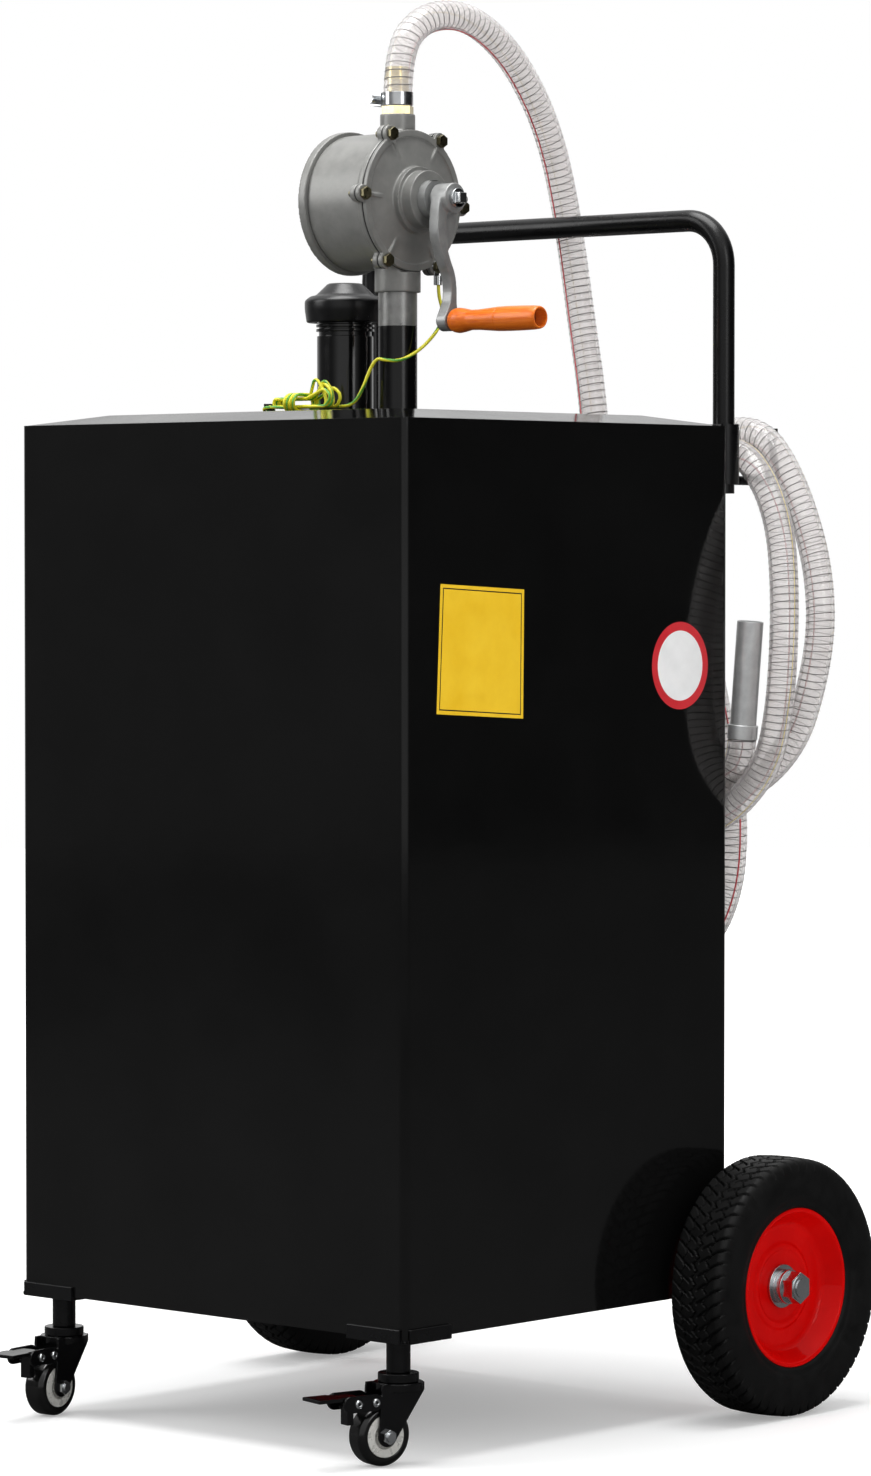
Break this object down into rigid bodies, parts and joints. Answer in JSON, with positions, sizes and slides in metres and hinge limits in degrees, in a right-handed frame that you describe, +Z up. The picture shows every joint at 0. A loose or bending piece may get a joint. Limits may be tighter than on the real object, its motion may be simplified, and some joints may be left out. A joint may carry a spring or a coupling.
{
  "type": "fuel caddy",
  "caption": "Upright steel tank on wheels and casters with a rotary crank pump, coiled clear hose, push handle and earth wire.",
  "frame": {"origin": "on the floor, in the middle of the footprint of the cart without its hose and earth wire", "axes": "+Z up, +X to the right seen from the caster side, -Y towards the casters, +Y towards the push handle and rear wheels"},
  "size_m": [0.5978, 0.602, 1.2281],
  "materials": {
    "black_steel": "satin black powder coat",
    "black_plastic": "black moulded plastic",
    "pump_grey": "grey enamel on cast metal",
    "zinc": "zinc plated steel",
    "dark_rubber": "nitrile rubber",
    "grip_wood": "orange lacquered wood",
    "brass": "machined brass",
    "clear_hose": "clear flexible hose with wire helix",
    "spout_metal": "drawn aluminium",
    "earth_insulation": "yellow and green insulation",
    "clip_metal": "black coated clip",
    "tyre_rubber": "black tread",
    "rim_red": "gloss red enamel",
    "caster_tread": "hard black tread",
    "caster_core": "silver faced hub",
    "grey_rotor": "moulded composite"
  },
  "bodies": {
    "cart": {"tank_shell": "black_steel", "tank_top": "black_steel", "tank_bottom": "black_steel", "filler_neck": "black_plastic", "pump_post": "black_steel", "suction_tube": "zinc", "pump_body": "pump_grey", "pump_rear_cover": "pump_grey", "pump_gasket": "dark_rubber", "pump_front_cover": "pump_grey", "cover_screws": "zinc", "gland_nut": "pump_grey", "outlet_fitting": "brass", "hose_clamp": "zinc", "hose_drop": "clear_hose", "hose_loops": "clear_hose", "hose_tail": "clear_hose", "spout": "spout_metal", "wire_lug": "zinc", "earth_wire": "earth_insulation", "wire_hank": "earth_insulation", "wire_wraps": "earth_insulation", "clip_lead": "earth_insulation", "clip_lower": "clip_metal", "push_handle": "black_steel", "handle_sockets": "black_steel", "handle_bolts": "zinc", "hose_hanger": "black_steel", "axle": "zinc", "axle_brackets": "black_steel", "axle_spacers": "zinc", "axle_nuts": "zinc", "corner_brackets": "black_steel", "caster_races": "black_steel"},
    "crank": {"rotor": "zinc", "vanes": "grey_rotor", "pump_shaft": "zinc", "crank_arm": "pump_grey", "crank_set_screw": "zinc", "grip_pin": "zinc"},
    "grip_sleeve": {"grip": "grip_wood"},
    "cap_ring": {"cap_gasket": "dark_rubber"},
    "cap": {"fill_cap": "black_plastic"},
    "clip_jaw": {"clip_upper": "clip_metal"},
    "wheel_left": {"tyre_left": "tyre_rubber", "rim_left": "rim_red", "hub_left": "zinc"},
    "caster_left": {"caster_fork_left": "black_steel", "caster_bolt_left": "zinc"},
    "caster_wheel_left": {"caster_tyre_left": "caster_tread", "caster_hub_left": "caster_core"},
    "brake_left": {"brake_lever_left": "black_steel"},
    "wheel_right": {"tyre_right": "tyre_rubber", "rim_right": "rim_red", "hub_right": "zinc"},
    "caster_right": {"caster_fork_right": "black_steel", "caster_bolt_right": "zinc"},
    "caster_wheel_right": {"caster_tyre_right": "caster_tread", "caster_hub_right": "caster_core"},
    "brake_right": {"brake_lever_right": "black_steel"}
  },
  "joints": [
    {"name": "crank_turn", "type": "hinge", "parent": "cart", "child": "crank", "pos_m": [0, -0.00103, 1.05], "axis": [1, 0, 0], "continuous": true},
    {"name": "grip_turn", "type": "hinge", "parent": "crank", "child": "grip_sleeve", "pos_m": [0.115, 0.00047, 0.945], "axis": [1, 0, 0], "continuous": true},
    {"name": "cap_lift", "type": "slide", "parent": "cart", "child": "cap_ring", "axis": [0, 0, 1], "range_m": [0, 0.0121]},
    {"name": "cap_turn", "type": "hinge", "parent": "cap_ring", "child": "cap", "pos_m": [-0.115, 0.05498, 0.986], "axis": [0, 0, 1], "range_deg": [0, 1080]},
    {"name": "clip_open", "type": "hinge", "parent": "cart", "child": "clip_jaw", "pos_m": [-0.14805, -0.00742, 0.8714], "axis": [0.7431, 0.6691, 0], "range_deg": [0, 12], "stiffness_Nm_per_rad": 0.05, "springref_deg": -17.19},
    {"name": "wheel_roll_left", "type": "hinge", "parent": "cart", "child": "wheel_left", "pos_m": [-0.268, 0.18898, 0.112], "axis": [1, 0, 0], "continuous": true},
    {"name": "caster_swivel_left", "type": "hinge", "parent": "cart", "child": "caster_left", "pos_m": [-0.197, -0.21502, 0.07], "axis": [0, 0, 1], "continuous": true},
    {"name": "caster_roll_left", "type": "hinge", "parent": "caster_left", "child": "caster_wheel_left", "pos_m": [-0.19468, -0.23388, 0.025], "axis": [0.9925, 0.1219, 0], "continuous": true},
    {"name": "brake_press_left", "type": "hinge", "parent": "caster_left", "child": "brake_left", "pos_m": [-0.19121, -0.26217, 0.054], "axis": [0.9925, 0.1219, 0], "range_deg": [0, 17]},
    {"name": "wheel_roll_right", "type": "hinge", "parent": "cart", "child": "wheel_right", "pos_m": [0.268, 0.18898, 0.112], "axis": [1, 0, 0], "continuous": true},
    {"name": "caster_swivel_right", "type": "hinge", "parent": "cart", "child": "caster_right", "pos_m": [0.197, -0.21502, 0.07], "axis": [0, 0, 1], "continuous": true},
    {"name": "caster_roll_right", "type": "hinge", "parent": "caster_right", "child": "caster_wheel_right", "pos_m": [0.1924, -0.23346, 0.025], "axis": [0.9703, -0.2419, 0], "continuous": true},
    {"name": "brake_press_right", "type": "hinge", "parent": "caster_right", "child": "brake_right", "pos_m": [0.18551, -0.26111, 0.054], "axis": [0.9703, -0.2419, 0], "range_deg": [0, 17]}
  ],
  "couplings": [
    {"joint": "cap_lift", "follows": "cap_turn", "m_per_rad": 0.00063662}
  ]
}
